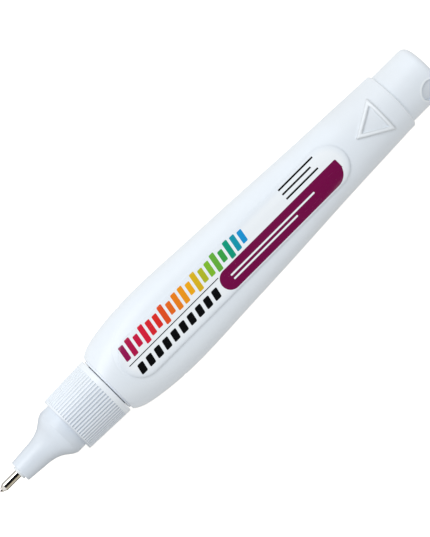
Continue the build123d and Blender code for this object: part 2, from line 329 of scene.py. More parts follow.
class MouldedSurface(Effect):
    """Fine grain, slow unevenness, smudges and hairline scratches of moulded plastic. Sizes in millimetres."""

    name = "moulded_surface"
    inputs = ("Place", "Grain Size", "Grain Height", "Ripple Size", "Ripple Height")
    outputs = ("Height", "Smudge", "Scratch")
    smudges_per_ripple: float = 0.6
    scratch_stretch: Point = (0.095, 2.07, 1.89)
    scratch_scale: float = 2.6
    scratch_span: Span = (0.72, 0.76)
    scratch_depth: float = 0.003

    def wire(self, graph: Graph, feeds: Sockets) -> Sockets:
        """Adds the noises and scratches together.

        Args:
            graph: The group's node tree.
            feeds: The group's inputs by name.

        Returns:
            Height in millimetres, and the smudge and scratch masks.
        """
        place = feeds["Place"]
        grain = graph.noise(place, graph.math("DIVIDE", 1.0, feeds["Grain Size"]), detail=2.0)
        ripple = graph.noise(place, graph.math("DIVIDE", 1.0, feeds["Ripple Size"]), detail=1.0)
        smudge_scale = graph.math("DIVIDE", self.smudges_per_ripple, feeds["Ripple Size"])
        smudge = graph.noise(place, smudge_scale, detail=5.0)
        lines = graph.noise(graph.stretch(place, self.scratch_stretch), self.scratch_scale, detail=1.0)
        scratch = graph.ramp(lines, *self.scratch_span)
        grains = graph.times(graph.math("SUBTRACT", grain, NOISE_MIDDLE), feeds["Grain Height"])
        waves = graph.times(graph.math("SUBTRACT", ripple, NOISE_MIDDLE), feeds["Ripple Height"])
        cuts = graph.times(scratch, self.scratch_depth)
        height = graph.math("SUBTRACT", graph.math("ADD", grains, waves), cuts)
        return {"Height": height, "Smudge": smudge, "Scratch": scratch}


class PrintedBar(Effect):
    """A flat printed bar with its own corner radii. Sizes in millimetres."""

    name = "printed_bar"
    inputs = (
        "Along",
        "Across",
        "Middle Along",
        "Middle Across",
        "Half Length",
        "Half Width",
        "Front Corner",
        "Upper Corner",
        "Lower Corner",
    )
    outputs = ("Mask", "Distance")
    ink_spread: Span = (-0.03, 0.03)

    def wire(self, graph: Graph, feeds: Sockets) -> Sockets:
        """Measures how far a point is outside the bar.

        Args:
            graph: The group's node tree.
            feeds: The group's inputs by name.

        Returns:
            The printed mask, and the distance outside the bar's edge in millimetres.
        """
        across = graph.math("SUBTRACT", feeds["Across"], feeds["Middle Across"])
        along = graph.math("SUBTRACT", feeds["Along"], feeds["Middle Along"])
        rear = graph.math("GREATER_THAN", along, 0.0)
        upper = graph.math("GREATER_THAN", across, 0.0)
        spread = graph.math("SUBTRACT", feeds["Upper Corner"], feeds["Lower Corner"])
        corner = graph.math("MULTIPLY_ADD", upper, spread, feeds["Lower Corner"])
        change = graph.math("SUBTRACT", corner, feeds["Front Corner"])
        corner = graph.math("MULTIPLY_ADD", rear, change, feeds["Front Corner"])
        past_end = graph.math("SUBTRACT", graph.math("ABSOLUTE", along), feeds["Half Length"])
        past_side = graph.math("SUBTRACT", graph.math("ABSOLUTE", across), feeds["Half Width"])
        out_along = graph.math("ADD", past_end, corner)
        out_across = graph.math("ADD", past_side, corner)
        outside = graph.length(graph.math("MAXIMUM", out_along, 0.0), graph.math("MAXIMUM", out_across, 0.0))
        inside = graph.math("MINIMUM", graph.math("MAXIMUM", out_along, out_across), 0.0)
        distance = graph.math("SUBTRACT", graph.math("ADD", outside, inside), corner)
        return {"Mask": graph.ramp(distance, *self.ink_spread, 1.0, 0.0), "Distance": distance}


class TurnedMetal(Effect):
    """Fine rings left by turning and drawing, and a soft unevenness of tone. Sizes in millimetres."""

    name = "turned_metal"
    inputs = ("Place", "Ring Size", "Ring Height")
    outputs = ("Height", "Tone")
    ring_stretch: Point = (1.0, 0.04, 0.04)
    tone_scale: float = 1.3

    def wire(self, graph: Graph, feeds: Sockets) -> Sockets:
        """Adds rings across the pen's length.

        Args:
            graph: The group's node tree.
            feeds: The group's inputs by name.

        Returns:
            Height in millimetres, and the tone.
        """
        squeezed = graph.stretch(feeds["Place"], self.ring_stretch)
        rings = graph.noise(squeezed, graph.math("DIVIDE", 1.0, feeds["Ring Size"]), detail=2.0)
        tone = graph.noise(feeds["Place"], self.tone_scale, detail=4.0)
        return {"Height": graph.times(rings, feeds["Ring Height"]), "Tone": tone}


MOULDED_SURFACE = MouldedSurface()
PRINTED_BAR = PrintedBar()
TURNED_METAL = TurnedMetal()


def new_material(name: str, kind: str) -> Tuple[bpy.types.Material, Graph, bpy.types.Node]:
    """Makes a material with one shader.

    Args:
        name: The material's name.
        kind: Blender's name for the shader's node type.

    Returns:
        The material, its graph and the shader.
    """
    material = bpy.data.materials.new(name)
    material.use_nodes = True
    material.node_tree.nodes.clear()
    graph = Graph(material.node_tree)
    shader = graph.add(kind)
    graph.feed(graph.add("ShaderNodeOutputMaterial").inputs["Surface"], shader.outputs[0])
    return material, graph, shader


def raise_surface(graph: Graph, shader: bpy.types.Node, height: Feed, edge: Feed) -> None:
    """Bumps a surface and softens its edges.

    Args:
        graph: The material's graph.
        shader: The shader whose normal is set.
        height: Height in millimetres.
        edge: Radius of the softened edges in metres, or 0 for sharp ones.
    """
    bump = graph.add("ShaderNodeBump")
    graph.feed(bump.inputs["Strength"], 1.0)
    graph.feed(bump.inputs["Distance"], MM)
    graph.feed(bump.inputs["Height"], height)
    if edge != 0.0:
        bevel = graph.add("ShaderNodeBevel", samples=BEVEL_SAMPLES)
        graph.feed(bevel.inputs["Radius"], edge)
        graph.feed(bump.inputs["Normal"], bevel.outputs["Normal"])
    graph.feed(shader.inputs["Normal"], bump.outputs["Normal"])


@dataclass(frozen=True)
class MouldedFinish:
    """Moulded plastic or rubber with smudges and hairline scratches. Sizes in millimetres."""

    name: str
    colour: Colour = paint(232, 240, 248)
    smudged: Colour = paint(228, 235, 242)
    roughness: float = 0.36
    grain_size: float = 0.32
    grain_height: float = 0.004
    ripple_size: float = 9.0
    ripple_height: float = 0.03
    edge: float = 0.12
    refraction: float = 1.5
    smudge_span: Span = (0.45, 0.75)
    smudge_change: float = 0.08
    scratch_change: float = 0.12
    ink_change: float = -0.18

    def tint(self, graph: Graph, colour: Socket) -> Tuple[Socket, Feed]:
        """Changes the colour and says where ink lies, which plain plastic has none of."""
        return colour, 0.0

    def relief(self, graph: Graph, height: Socket) -> Socket:
        """Changes the height over the surface, which plain plastic doesn't."""
        return height

    def edge_radius(self, graph: Graph) -> Feed:
        """Gives the radius of the softened edges in metres, the same all over plain plastic."""
        return self.edge * MM

    def material(self) -> bpy.types.Material:
        """Builds the material.

        Returns:
            The material.
        """
        material, graph, shader = new_material(self.name, "ShaderNodeBsdfPrincipled")
        surface = MOULDED_SURFACE.use(
            graph,
            Place=graph.place,
            Grain_Size=self.grain_size,
            Grain_Height=self.grain_height,
            Ripple_Size=self.ripple_size,
            Ripple_Height=self.ripple_height,
        )
        handled = graph.ramp(surface["Smudge"], *self.smudge_span)
        colour = graph.mix(handled, self.colour, self.smudged)
        colour, inked = self.tint(graph, colour)
        graph.feed(shader.inputs["Base Color"], colour)
        worn = graph.math("MULTIPLY_ADD", handled, self.smudge_change, self.roughness)
        worn = graph.math("MULTIPLY_ADD", surface["Scratch"], self.scratch_change, worn)
        graph.feed(shader.inputs["Roughness"], graph.math("MULTIPLY_ADD", inked, self.ink_change, worn))
        graph.feed(shader.inputs["IOR"], self.refraction)
        raise_surface(graph, shader, self.relief(graph, surface["Height"]), self.edge_radius(graph))
        return material


@dataclass(frozen=True)
class BarSpec:
    """One printed bar on the label face: its middle, half sizes and front, upper and lower corners, in millimetres."""

    along: float
    across: float
    half_length: float
    half_width: float
    corners: Point = (0.05, 0.05, 0.05)


@dataclass(frozen=True)
class RowSpec:
    """A printed row of slanted bars in millimetres, whose half width swings by a step in radians from bar to bar."""

    start: float
    across: float
    pitch: float
    count: int
    half_length: float
    half_width: float
    corner: float
    slant: float
    swing: float = 0.0
    swing_step: float = 2.4


@dataclass(frozen=True)
class BottleFinish(MouldedFinish):
    """White plastic of the bottle, with its print, mould seam, crease and arrow frame, painted highlights on the
    frame's bars and the rear rim, and painted light on the neck.

    Heights are above the pen's axis. Fades are measured from where they belong, as are the shoulder's and rim's spans.
    """

    print_height: float = 4.62
    print_fade: Span = (-0.1, 0.1)
    thin_scale: float = 5.0
    thin_span: Span = (0.7, 0.8)
    thin_ink: float = 0.75
    backing_white: Colour = paint(242, 248, 253)
    backing_fade: Span = (-1.6, 0.0)
    plum: Colour = paint(119, 8, 73)
    black: Colour = paint(14, 15, 17)
    backing: BarSpec = BarSpec(0.0, 0.0, 32.9, 4.7, corners=(4.7, 4.7, 4.7))
    band: BarSpec = BarSpec(12.5, -2.1, 18.1, 2.37, corners=(2.37, 0.32, 3.4))
    band_lines: Tuple[BarSpec, ...] = (
        BarSpec(9.9, -1.65, 12.6, 0.2, corners=(0.2, 0.2, 0.2)),
        BarSpec(6.9, -2.65, 9.6, 0.2, corners=(0.2, 0.2, 0.2)),
    )
    dark_lines: Tuple[BarSpec, ...] = (
        BarSpec(-18.35, -0.1, 13.35, 0.1),
        BarSpec(22.35, 4.0, 5.15, 0.2),
        BarSpec(21.45, 2.75, 4.25, 0.2),
        BarSpec(21.95, 1.5, 4.75, 0.2),
    )
    dashes: RowSpec = RowSpec(
        start=-31.1, across=-2.25, pitch=2.46, count=10, half_length=0.82, half_width=1.15, corner=0.3, slant=0.22
    )
    bars: RowSpec = RowSpec(
        start=-31.4,
        across=2.6,
        pitch=1.96,
        count=19,
        half_length=0.66,
        half_width=1.72,
        corner=0.25,
        slant=0.18,
        swing=0.42,
    )
    hues: Tuple[Colour, ...] = (
        paint(150, 16, 84),
        paint(216, 22, 62),
        paint(226, 44, 34),
        paint(240, 122, 22),
        paint(246, 180, 14),
        paint(134, 194, 44),
        paint(10, 160, 78),
        paint(16, 150, 216),
    )
    seam_span: Span = (0.03, 0.12)
    seam_height: float = 0.02
    crease_middle: float = -24.3
    crease_half_length: float = 9.46
    crease_half_width: float = 7.96
    crease_share: float = 0.03
    crease_depth: float = 0.02
    crease_side: Span = (2.0, 4.0)
    crease_fade: Span = (-3.0, 0.0)
    arrow_apex: float = 36.725
    arrow_base: float = 44.825
    arrow_half_base: float = 4.7
    arrow_bar: float = 0.95
    arrow_crown: float = 0.12
    arrow_rise: Span = (-0.2, 0.1)
    arrow_fall: Span = (0.0, 0.2)
    # Painted highlight: a paler colour on the arrow frame's raised bars and the rear rim edge, as if lit.
    painted_highlight: Colour = paint(240, 247, 253)
    # Painted light: a paler colour on the neck and the shoulder's front, which lightens the shade in the gap under the
    # collar.
    painted_gap_light: Colour = paint(241, 247, 255)
    shoulder: float = -37.225
    shoulder_gap_light: Span = (0.02, 0.12)
    shoulder_soft: Span = (0.6, 3.0)
    rim: float = 49.175
    rim_highlight: Span = (-0.45, -0.15)
    rim_soft: Span = (-3.0, -1.0)
    side_soft: Span = (2.5, 4.5)
    end_edge: float = 0.3

    def row(self, graph: Graph, spec: RowSpec) -> Tuple[Socket, Socket]:
        """Repeats a bar along the pen.

        Args:
            graph: The material's graph.
            spec: The row.

        Returns:
            The mask of all the bars, and the number of the bar at each point.
        """
        along, across, _ = graph.axes
        off = graph.math("SUBTRACT", across, spec.across)
        level = graph.math("SUBTRACT", along, graph.times(off, spec.slant))
        count = graph.math("DIVIDE", graph.math("SUBTRACT", level, spec.start), spec.pitch)
        number = graph.math("FLOOR", count)
        from_middle = graph.math("SUBTRACT", graph.math("SUBTRACT", count, number), 0.5)
        swing = graph.math("SINE", graph.times(number, spec.swing_step))
        bar = PRINTED_BAR.use(
            graph,
            Along=graph.times(from_middle, spec.pitch),
            Across=off,
            Half_Length=spec.half_length,
            Half_Width=graph.math("MULTIPLY_ADD", swing, spec.swing, spec.half_width),
            Front_Corner=spec.corner,
            Upper_Corner=spec.corner,
            Lower_Corner=spec.corner,
        )
        begun = graph.math("GREATER_THAN", count, 0.0)
        unended = graph.math("LESS_THAN", count, float(spec.count))
        within = graph.times(begun, unended)
        return graph.times(bar["Mask"], within), number

    def bar(self, graph: Graph, spec: BarSpec) -> Sockets:
        """Prints one bar.

        Args:
            graph: The material's graph.
            spec: The bar.

        Returns:
            The bar's mask and the distance outside its edge.
        """
        along, across, _ = graph.axes
        return PRINTED_BAR.use(
            graph,
            Along=along,
            Across=across,
            Middle_Along=spec.along,
            Middle_Across=spec.across,
            Half_Length=spec.half_length,
            Half_Width=spec.half_width,
            Front_Corner=spec.corners[0],
            Upper_Corner=spec.corners[1],
            Lower_Corner=spec.corners[2],
        )

    def spectrum(self, graph: Graph, number: Socket) -> Socket:
        """Gives each bar of the coloured row its hue.

        Args:
            graph: The material's graph.
            number: The number of the bar at each point.

        Returns:
            The hue.
        """
        hue = graph.add("ShaderNodeValToRGB")
        elements = hue.color_ramp.elements
        while len(elements) < len(self.hues):
            elements.new(len(elements) / len(self.hues))
        for order, shade in enumerate(self.hues):
            elements[order].position = order / (len(self.hues) - 1)
            elements[order].color = shade
        graph.feed(hue.inputs[0], graph.math("DIVIDE", number, float(self.bars.count - 1)))
        return hue.outputs["Color"]

    def inside_arrow(self, graph: Graph) -> Socket:
        """Measures how far a point is inside the arrow frame's outline.

        Args:
            graph: The material's graph.

        Returns:
            The distance in millimetres, below 0 outside.
        """
        along, across, _ = graph.axes
        slope = math.atan2(self.arrow_half_base, self.arrow_base - self.arrow_apex)
        from_apex = graph.times(graph.math("SUBTRACT", along, self.arrow_apex), math.sin(slope))
        from_side = graph.times(graph.math("ABSOLUTE", across), math.cos(slope))
        inside = graph.math("SUBTRACT", from_apex, from_side)
        return graph.math("MINIMUM", inside, graph.math("SUBTRACT", self.arrow_base, along))

    def add_painted_light(self, graph: Graph, colour: Socket) -> Socket:
        """Paints highlights on the arrow frame's bars and the rear rim, as if they were lit.

        It also paints light on the neck and the shoulder's front, which lightens the shade in the gap under the
        collar.

        Args:
            graph: The material's graph.
            colour: The plastic's colour.

        Returns:
            The colour with the painted highlights and light.
        """
        along, _, up = graph.axes
        # Painted light on the neck and the shoulder's front, which lightens the shade in the gap under the collar.
        gap_light = graph.ramp(along, *span_from(self.shoulder, self.shoulder_gap_light), 1.0, 0.0)
        colour = graph.mix(gap_light, colour, self.painted_gap_light)
        # Painted highlight: the arrow frame's bars on the upper side and the rear rim edge get a paler colour, as if
        # lit.
        inside = self.inside_arrow(graph)
        bars = graph.window(inside, self.arrow_rise, span_from(self.arrow_bar, self.arrow_fall))
        bars = graph.times(bars, graph.math("GREATER_THAN", up, 0.0))
        rim = graph.ramp(along, *span_from(self.rim, self.rim_highlight))
        return graph.mix(graph.math("MAXIMUM", bars, rim), colour, self.painted_highlight)

    def tint(self, graph: Graph, colour: Socket) -> Tuple[Socket, Feed]:
        """Paints highlights and light on the plastic and prints the label face.

        Args:
            graph: The material's graph.
            colour: The plastic's colour.

        Returns:
            The colour with the print, and the mask of the coloured and black ink.
        """
        # Painted highlights on the arrow frame and the rear rim, and painted light in the gap at the neck.
        colour = self.add_painted_light(graph, colour)
        _, _, up = graph.axes
        upper = graph.ramp(up, *span_from(self.print_height, self.print_fade))
        thin = graph.ramp(graph.noise(graph.place, self.thin_scale, detail=3.0), *self.thin_span, 1.0, self.thin_ink)
        ink = graph.times(upper, thin)

        white = self.bar(graph, self.backing)["Distance"]
        white = graph.times(graph.ramp(white, *self.backing_fade, 1.0, 0.0), upper)
        colour = graph.mix(white, colour, self.backing_white)

        coloured, number = self.row(graph, self.bars)
        coloured = graph.times(coloured, ink)
        colour = graph.mix(coloured, colour, self.spectrum(graph, number))

        dark = self.row(graph, self.dashes)[0]
        for spec in self.dark_lines:
            dark = graph.math("MAXIMUM", dark, self.bar(graph, spec)["Mask"])
        dark = graph.times(dark, ink)
        colour = graph.mix(dark, colour, self.black)

        plum = self.bar(graph, self.band)["Mask"]
        for spec in self.band_lines:
            plum = graph.math("SUBTRACT", plum, self.bar(graph, spec)["Mask"])
        plum = graph.times(plum, ink)
        colour = graph.mix(plum, colour, self.plum)
        return colour, graph.math("MAXIMUM", graph.math("MAXIMUM", coloured, dark), plum)

    def relief(self, graph: Graph, height: Socket) -> Socket:
        """Adds the mould seam, the crease and the rounded tops of the arrow frame's bars.

        The crease is the front half of an oval on the upper side, behind the shoulder.

        Args:
            graph: The material's graph.
            height: The plastic's height.

        Returns:
            The height with all three, in millimetres.
        """
        along, across, up = graph.axes
        seam = graph.ramp(graph.math("ABSOLUTE", up), *self.seam_span, self.seam_height, 0.0)

        past = graph.math("SUBTRACT", along, self.crease_middle)
        first = graph.math("DIVIDE", past, self.crease_half_length)
        second = graph.math("DIVIDE", across, self.crease_half_width)
        ring = graph.math("ABSOLUTE", graph.math("SUBTRACT", graph.length(first, second), 1.0))
        crease = graph.ramp(ring, 0.0, self.crease_share, self.crease_depth, 0.0)
        crease = graph.times(crease, graph.ramp(up, *self.crease_side))
        crease = graph.times(crease, graph.ramp(past, *self.crease_fade, 1.0, 0.0))

        off = graph.math("SUBTRACT", graph.math("DIVIDE", self.inside_arrow(graph), self.arrow_bar / 2), 1.0)
        crown = graph.math("SUBTRACT", 1.0, graph.times(off, off))
        crown = graph.times(graph.math("MAXIMUM", crown, 0.0), self.arrow_crown)
        crown = graph.times(crown, graph.math("GREATER_THAN", up, 0.0))
        return graph.math("ADD", graph.math("SUBTRACT", graph.math("ADD", height, seam), crease), crown)

    def edge_radius(self, graph: Graph) -> Feed:
        """Softens the panels and the arrow frame more than the ends and the narrow sides.

        Args:
            graph: The material's graph.

        Returns:
            The radius in metres.
        """
        along, _, up = graph.axes
        soft = graph.window(along, span_from(self.shoulder, self.shoulder_soft), span_from(self.rim, self.rim_soft))
        soft = graph.times(soft, graph.ramp(graph.math("ABSOLUTE", up), *self.side_soft))
        return graph.math("MULTIPLY_ADD", soft, (self.edge - self.end_edge) * MM, self.end_edge * MM)


@dataclass(frozen=True)
class CollarFinish(MouldedFinish):
    """White plastic of the collar, with painted shade in the grooves between its ribs and a painted shadow on its
    front lip.
    """

    # Painted shade in the grooves between the ribs and on the front lip, weaker on the lit side toward +Y.
    painted_shade: Colour = paint(204, 213, 224)
    lit_side: Span = (0.0, 5.0)
    lit_side_shade: float = 0.2
    front: float = -49.825
    front_radius: float = 7.0
    slope: float = 0.0335
    groove_top: Span = (0.03, 0.2)
    groove_floor: Span = (0.26, 0.3)
    lip: Span = (0.2, 0.55)
    # Painted light: a paler colour on the rear face, which lightens the shade in the gap before the bottle's shoulder.
    painted_gap_light: Colour = paint(241, 247, 255)
    rear: float = -37.875
    rear_gap_light: Span = (-0.12, -0.02)

    def tint(self, graph: Graph, colour: Socket) -> Tuple[Socket, Feed]:
        """Paints shade into the grooves and a shadow on the front lip, less on the lit side, and paints light on the
        rear face.

        Args:
            graph: The material's graph.
            colour: The plastic's colour.

        Returns:
            The colour with the painted shade and light, and no ink.
        """
        along, across, up = graph.axes
        behind = graph.math("SUBTRACT", along, self.front)
        outline = graph.math("MULTIPLY_ADD", behind, self.slope, self.front_radius)
        depth = graph.math("SUBTRACT", outline, graph.length(across, up))
        # Painted shade in the grooves and a painted shadow along the front lip, less on the lit side.
        shade_mask = graph.window(depth, self.groove_top, self.groove_floor)
        shade_mask = graph.math("MAXIMUM", shade_mask, graph.ramp(behind, *self.lip, 1.0, 0.0))
        shade_mask = graph.times(shade_mask, graph.ramp(across, *self.lit_side, 1.0, self.lit_side_shade))
        colour = graph.mix(shade_mask, colour, self.painted_shade)
        # Painted light on the rear face, which lightens the shade in the gap before the bottle's shoulder.
        gap_light = graph.ramp(along, *span_from(self.rear, self.rear_gap_light))
        return graph.mix(gap_light, colour, self.painted_gap_light), 0.0


@dataclass(frozen=True)
class PlugFinish(MouldedFinish):
    """White plastic of the tail plug, with painted shade in its round recess and a painted highlight on the rim round
    it.
    """

    # Painted shade in the recess and a painted highlight on the rim round it.
    painted_shade: Colour = paint(222, 230, 238)
    painted_highlight: Colour = paint(242, 249, 254)
    recess_along: float = 56.375
    recess_angle: float = 40.0
    recess_radius: float = 2.6
    recess_wall: Span = (-0.25, 0.0)
    rim_rise: Span = (0.0, 0.08)
    rim_fall: Span = (0.275, 0.55)

    def tint(self, graph: Graph, colour: Socket) -> Tuple[Socket, Feed]:
        """Paints shade into the recess and a highlight on the rim round it.

        Args:
            graph: The material's graph.
            colour: The plastic's colour.

        Returns:
            The colour with the painted shade in the recess and the painted highlight on its rim, and no ink.
        """
        along, across, up = graph.axes
        sine, cosine = math.sin(math.radians(self.recess_angle)), math.cos(math.radians(self.recess_angle))
        side = graph.math("MULTIPLY_ADD", across, cosine, graph.times(up, sine))
        out = graph.math("SUBTRACT", graph.times(up, cosine), graph.times(across, sine))
        facing = graph.math("GREATER_THAN", out, 0.0)
        reach = graph.length(graph.math("SUBTRACT", along, self.recess_along), side)
        past = graph.math("SUBTRACT", reach, self.recess_radius)
        # Painted shade inside the recess, then a painted highlight on its rim.
        within = graph.times(graph.ramp(past, *self.recess_wall, 1.0, 0.0), facing)
        colour = graph.mix(within, colour, self.painted_shade)
        ring = graph.times(graph.window(past, self.rim_rise, self.rim_fall), facing)
        return graph.mix(ring, colour, self.painted_highlight), 0.0


@dataclass(frozen=True)
class MetalFinish:
    """Turned, ground, drawn or polished metal. Sizes in millimetres."""

    name: str
    colour: Colour
    dull: Colour
    roughness: float
    ring_size: float
    ring_height: float
    dull_span: Span = (0.35, 0.7)
    dull_change: float = 0.06

    def material(self) -> bpy.types.Material:
        """Builds the material.

        Returns:
            The material.
        """
        material, graph, shader = new_material(self.name, "ShaderNodeBsdfPrincipled")
        surface = TURNED_METAL.use(graph, Place=graph.place, Ring_Size=self.ring_size, Ring_Height=self.ring_height)
        tone = graph.ramp(surface["Tone"], *self.dull_span)
        graph.feed(shader.inputs["Base Color"], graph.mix(tone, self.colour, self.dull))
        graph.feed(shader.inputs["Roughness"], graph.math("MULTIPLY_ADD", tone, self.dull_change, self.roughness))
        graph.feed(shader.inputs["Metallic"], 1.0)
        raise_surface(graph, shader, surface["Height"], 0.0)
        return material


def new_piece(name: str, points: Sequence[Sequence[float]], faces: Sequence[Sequence[int]]) -> bpy.types.Object:
    """Makes a mesh object and links it to the scene.

    Args:
        name: The piece's name.
        points: The mesh's points in metres.
        faces: The points of each face by number.

    Returns:
        The piece.
    """
    mesh = bpy.data.meshes.new(name)
    mesh.from_pydata(points, [], faces)
    mesh.validate()
    mesh.update()
    piece = bpy.data.objects.new(name, mesh)
    bpy.context.scene.collection.objects.link(piece)
    return piece


def new_sheet(name: str, length: float, width: float) -> bpy.types.Object:
    """Makes a flat oblong with its middle at the origin.

    Args:
        name: The sheet's name.
        length: Its size along X in metres.
        width: Its size along Y in metres.

    Returns:
        The sheet.
    """
    long, wide = length / 2, width / 2
    return new_piece(name, [(-long, -wide, 0), (long, -wide, 0), (long, wide, 0), (-long, wide, 0)], [(0, 1, 2, 3)])


def new_sweep(name: str, rings: Sequence[Sequence[Vector]]) -> bpy.types.Object:
    """Joins rings of points into a closed solid with smooth sides.

    Args:
        name: The piece's name.
        rings: The section at each step, in millimetres, with the same number of points in each.

    Returns:
        The piece.
    """
    sides = len(rings[0])
    last = sides * (len(rings) - 1)
    faces: List[Tuple[int, ...]] = []
    for near in range(0, last, sides):
        far = near + sides
        for side in range(sides):
            after = (side + 1) % sides
            faces.append((near + side, near + after, far + after, far + side))
    faces.append(tuple(reversed(range(sides))))
    faces.append(tuple(range(last, last + sides)))
    piece = new_piece(name, [point * MM for ring in rings for point in ring], faces)
    for polygon in piece.data.polygons:
        polygon.use_smooth = len(polygon.vertices) == 4
    return piece


def dress(piece: bpy.types.Object, material: bpy.types.Material) -> None:
    """Gives a piece one material in all its slots.

    Args:
        piece: The piece.
        material: The material.
    """
    if not piece.material_slots:
        piece.data.materials.append(material)
    for slot in piece.material_slots:
        slot.material = material
    LOG.info("%s wears %s", piece.name, material.name)


@dataclass(frozen=True)
class ScrewThread:
    """A right-hand screw thread of trapezoid section round the pen's axis. Sizes in millimetres."""

    name: str
    start: float
    root_radius: float
    crest_radius: float
    pitch: float = 2.0
    turns: float = 2.5
    root_half: float = 0.5
    crest_half: float = 0.2
    crest_rounding: float = 0.06
    rounding_steps: int = 2
    fade_turns: float = 0.2
    least_share: float = 0.08
    steps_per_turn: int = 72

    def build(self) -> bpy.types.Object:
        """Sweeps the section round the axis, and fades it into the wall at both ends.

        Returns:
            The thread as a closed mesh object.
        """
        rings: List[List[Vector]] = []
        for step in range(round(self.turns * self.steps_per_turn) + 1):
            turn = step / self.steps_per_turn
            grown = min(1.0, turn / self.fade_turns, (self.turns - turn) / self.fade_turns)
            share = max(self.least_share, math.sin(grown * math.pi / 2))
            crest = self.root_radius + (self.crest_radius - self.root_radius) * share
            angle = 2 * math.pi * turn
            ring = []
            for off, radius in (
                (-self.root_half, self.root_radius),
                (-self.crest_half, crest),
                (self.crest_half, crest),
                (self.root_half, self.root_radius),
            ):
                along = self.start + self.pitch * turn + off
                ring.append(Vector((along, radius * math.cos(angle), AXIS_HEIGHT + radius * math.sin(angle))))
            rings.append(ring)
        thread = new_sweep(self.name, rings)
        if self.crest_radius < self.root_radius:
            thread.data.flip_normals()
        rounding = thread.modifiers.new("rounded crest", "BEVEL")
        rounding.width = self.crest_rounding * MM
        rounding.segments = self.rounding_steps
        rounding.limit_method = "ANGLE"
        return thread


@dataclass
class Bottle:
    """The squeeze bottle with its tail plug, its neck thread and the ball that stirs the fluid."""

    finish: BottleFinish = BottleFinish("bottle_plastic", ripple_size=14.0, ripple_height=0.04, edge=0.9)
    plug_finish: PlugFinish = PlugFinish("plug_plastic", roughness=0.33)
    ball_finish: MetalFinish = MetalFinish(
        "polished_ball", paint(220, 221, 223), paint(202, 203, 206), roughness=0.1, ring_size=0.3, ring_height=0.0003
    )
    thread: ScrewThread = ScrewThread("neck_thread", start=-45.325, root_radius=5.42, crest_radius=6.08)

    def build(self, nodes: Dict[str, bpy.types.Object]) -> None:
        """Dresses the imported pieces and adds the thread.

        Args:
            nodes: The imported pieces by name.
        """
        plastic = self.finish.material()
        dress(nodes["barrel"], plastic)
        dress(nodes["tail_plug"], self.plug_finish.material())
        dress(nodes["agitator_ball"], self.ball_finish.material())
        thread = self.thread.build()
        dress(thread, plastic)
        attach(thread, Body.BARREL.value)


@dataclass
class ScrewCollar:
    """The ribbed collar with its inner thread."""

    finish: CollarFinish = CollarFinish(
        "collar_plastic", paint(239, 246, 253), paint(235, 242, 248), roughness=0.32, edge=0.07
    )
    thread: ScrewThread = ScrewThread("collar_thread", start=-44.325, root_radius=6.33, crest_radius=5.68)

    def build(self, nodes: Dict[str, bpy.types.Object]) -> None:
        """Dresses the collar and adds the thread.

        Args:
            nodes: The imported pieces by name.
        """
        plastic = self.finish.material()
        dress(nodes["screw_collar"], plastic)
        thread = self.thread.build()
        dress(thread, plastic)
        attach(thread, Body.COLLAR.value)


@dataclass
class NozzleHead:
    """The nozzle cone with its holder, tube, pin, retainer and washer."""

    cone_finish: MouldedFinish = MouldedFinish(
        "nozzle_plastic", paint(222, 231, 241), paint(217, 225, 234), roughness=0.34, grain_height=0.003
    )
    inner_finish: MouldedFinish = MouldedFinish("inner_plastic", paint(230, 235, 238), roughness=0.42, edge=0.06)
    washer_finish: MouldedFinish = MouldedFinish(
        "washer_rubber_bloom",
        paint(96, 96, 100),
        paint(126, 126, 128),
        roughness=0.72,
        grain_size=0.12,
        grain_height=0.012,
        ripple_size=3.0,
        ripple_height=0.05,
        edge=0.08,
        smudge_span=(0.4, 0.7),
        smudge_change=0.1,
        scratch_change=0.0,
    )
    tube_finish: MetalFinish = MetalFinish(
        "turned_tube", paint(226, 224, 220), paint(214, 211, 205), roughness=0.06, ring_size=0.05, ring_height=0.0002
    )
    pin_finish: MetalFinish = MetalFinish(
        "ground_pin", paint(214, 212, 208), paint(188, 185, 180), roughness=0.2, ring_size=0.04, ring_height=0.0008
    )

    def build(self, nodes: Dict[str, bpy.types.Object]) -> None:
        """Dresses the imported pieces.

        Args:
            nodes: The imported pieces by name.
        """
        inner = self.inner_finish.material()
        dress(nodes["nozzle_cone"], self.cone_finish.material())
        dress(nodes["tip_holder"], inner)
        dress(nodes["spring_retainer"], inner)
        dress(nodes["neck_gasket"], self.washer_finish.material())
        dress(nodes["tip_tube"], self.tube_finish.material())
        dress(nodes["valve_pin"], self.pin_finish.material())


